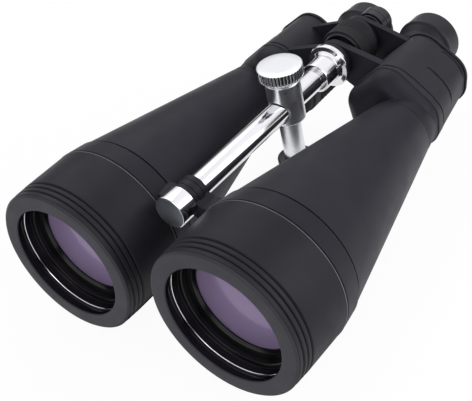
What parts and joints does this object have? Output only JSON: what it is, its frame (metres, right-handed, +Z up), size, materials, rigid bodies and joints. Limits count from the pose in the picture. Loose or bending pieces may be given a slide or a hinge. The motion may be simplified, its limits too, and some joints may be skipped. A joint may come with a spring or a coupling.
{
  "type": "astronomy binoculars",
  "caption": "Large centre-focus Porro-prism binoculars for stargazing, on a chromed balance rod with a sliding tripod post and clamp knob.",
  "frame": {"origin": "centre of the tripod socket's mouth, in the underside of the post's foot", "axes": "+Z up the post, +Y from the objectives back to the eyepieces, +X towards the user's left side, as seen from behind with the eyepieces near"},
  "size_m": [0.2358, 0.32, 0.1177],
  "materials": {
    "charcoal_paint": "satin charcoal enamel on cast and turned aluminium",
    "armour_rubber": "fine pebbled moulded rubber, matte",
    "grip_rubber": "knurled moulded rubber, matte",
    "black_anodised": "black anodised, satin",
    "chrome_plate": "polished chrome plate",
    "spring_steel": "ground steel",
    "dark_screws": "black oxide steel",
    "brass": "turned brass",
    "bearing_plastic": "natural acetal, matte",
    "coated_glass": "polished, violet anti-reflection coating",
    "prism_glass": "polished crown glass, ground edges"
  },
  "bodies": {
    "tripod_post": {"post_body": "chrome_plate", "post_foot": "chrome_plate", "socket_insert": "brass"},
    "rod_liner": {"rod_liner": "bearing_plastic"},
    "rod": {"rod": "chrome_plate", "rod_front_cap": "chrome_plate", "rod_rear_socket": "chrome_plate", "hinge_axle": "spring_steel", "hinge_washers": "spring_steel", "axle_nut": "spring_steel", "grub_screws": "dark_screws"},
    "clamp_pad": {"clamp_pad": "bearing_plastic"},
    "lock_knob": {"lock_knob": "chrome_plate", "lock_stud": "spring_steel"},
    "focus_wheel": {"focus_wheel": "black_anodised", "focus_grip": "grip_rubber"},
    "focus_spindle": {"focus_spindle": "spring_steel", "spindle_pin": "spring_steel", "bridge_hub": "brass", "bridge_cap": "black_anodised"},
    "left_half": {"left_prism_housing": "charcoal_paint", "left_armour": "armour_rubber", "left_rear_cover": "charcoal_paint", "left_cover_screws": "dark_screws", "left_barrel": "charcoal_paint", "left_objective_hood": "charcoal_paint", "left_front_bridge": "charcoal_paint", "left_lens_cell": "black_anodised", "left_retaining_ring": "black_anodised", "left_crown_lens": "coated_glass", "left_flint_lens": "coated_glass", "left_front_prism": "prism_glass", "left_rear_prism": "prism_glass", "left_prism_straps": "spring_steel"},
    "right_half": {"right_prism_housing": "charcoal_paint", "right_armour": "armour_rubber", "right_rear_cover": "charcoal_paint", "right_cover_screws": "dark_screws", "right_barrel": "charcoal_paint", "right_objective_hood": "charcoal_paint", "right_front_bridge": "charcoal_paint", "right_lens_cell": "black_anodised", "right_retaining_ring": "black_anodised", "right_crown_lens": "coated_glass", "right_flint_lens": "coated_glass", "right_front_prism": "prism_glass", "right_rear_prism": "prism_glass", "right_prism_straps": "spring_steel"},
    "left_eyepiece": {"left_bridge_arm": "black_anodised", "left_eyepiece_tube": "black_anodised", "left_field_lens": "coated_glass", "left_eye_lens": "coated_glass", "left_eyecup": "armour_rubber"},
    "right_eyepiece": {"right_bridge_arm": "black_anodised", "right_eyepiece_tube": "black_anodised"},
    "right_ocular": {"right_ocular_cell": "black_anodised", "right_field_lens": "coated_glass", "right_eye_lens": "coated_glass"},
    "diopter_ring": {"diopter_ring": "black_anodised", "right_eyecup": "armour_rubber"}
  },
  "joints": [
    {"name": "post_roll", "type": "hinge", "parent": "tripod_post", "child": "rod_liner", "pos_m": [0, 0, 0.058], "axis": [0, 1, 0], "range_deg": [-5, 5]},
    {"name": "balance_slide", "type": "slide", "parent": "rod_liner", "child": "rod", "axis": [0, 1, 0], "range_m": [-0.02, 0.05]},
    {"name": "lock_turn", "type": "hinge", "parent": "clamp_pad", "child": "lock_knob", "pos_m": [0, 0, 0.09], "axis": [0, 0, 1], "range_deg": [0, 540]},
    {"name": "clamp_lift", "type": "slide", "parent": "tripod_post", "child": "clamp_pad", "axis": [0, 0, 1], "range_m": [0, 0.00188]},
    {"name": "ipd_left", "type": "hinge", "parent": "rod", "child": "left_half", "pos_m": [0, 0.05, 0.058], "axis": [0, -1, 0], "range_deg": [-1.5, 23]},
    {"name": "ipd_right", "type": "hinge", "parent": "rod", "child": "right_half", "pos_m": [0, 0.05, 0.058], "axis": [0, 1, 0], "range_deg": [-1.5, 23.01]},
    {"name": "focus_turn", "type": "hinge", "parent": "rod", "child": "focus_wheel", "pos_m": [0, 0.081, 0.058], "axis": [0, 1, 0], "range_deg": [-270, 270]},
    {"name": "spindle_slide", "type": "slide", "parent": "rod", "child": "focus_spindle", "axis": [0, 1, 0], "range_m": [-0.004, 0.004]},
    {"name": "left_focus_slide", "type": "slide", "parent": "left_half", "child": "left_eyepiece", "axis": [0, 1, 0], "range_m": [-0.004, 0.004]},
    {"name": "right_focus_slide", "type": "slide", "parent": "right_half", "child": "right_eyepiece", "axis": [0, 1, 0], "range_m": [-0.004, 0.004]},
    {"name": "diopter_slide", "type": "slide", "parent": "right_eyepiece", "child": "right_ocular", "axis": [0, 1, 0], "range_m": [-0.002, 0.002]},
    {"name": "diopter_turn", "type": "hinge", "parent": "right_ocular", "child": "diopter_ring", "pos_m": [-0.028, 0.127, 0.032], "axis": [0, 1, 0], "range_deg": [-60, 60]}
  ],
  "couplings": [
    {"joint": "clamp_lift", "follows": "lock_turn", "m_per_rad": 0.00019894},
    {"joint": "ipd_right", "follows": "ipd_left", "ratio": 1},
    {"joint": "spindle_slide", "follows": "focus_turn", "m_per_rad": 0.00084883},
    {"joint": "left_focus_slide", "follows": "focus_turn", "m_per_rad": 0.00084883},
    {"joint": "right_focus_slide", "follows": "focus_turn", "m_per_rad": 0.00084883},
    {"joint": "diopter_slide", "follows": "diopter_turn", "m_per_rad": 0.0019099}
  ]
}
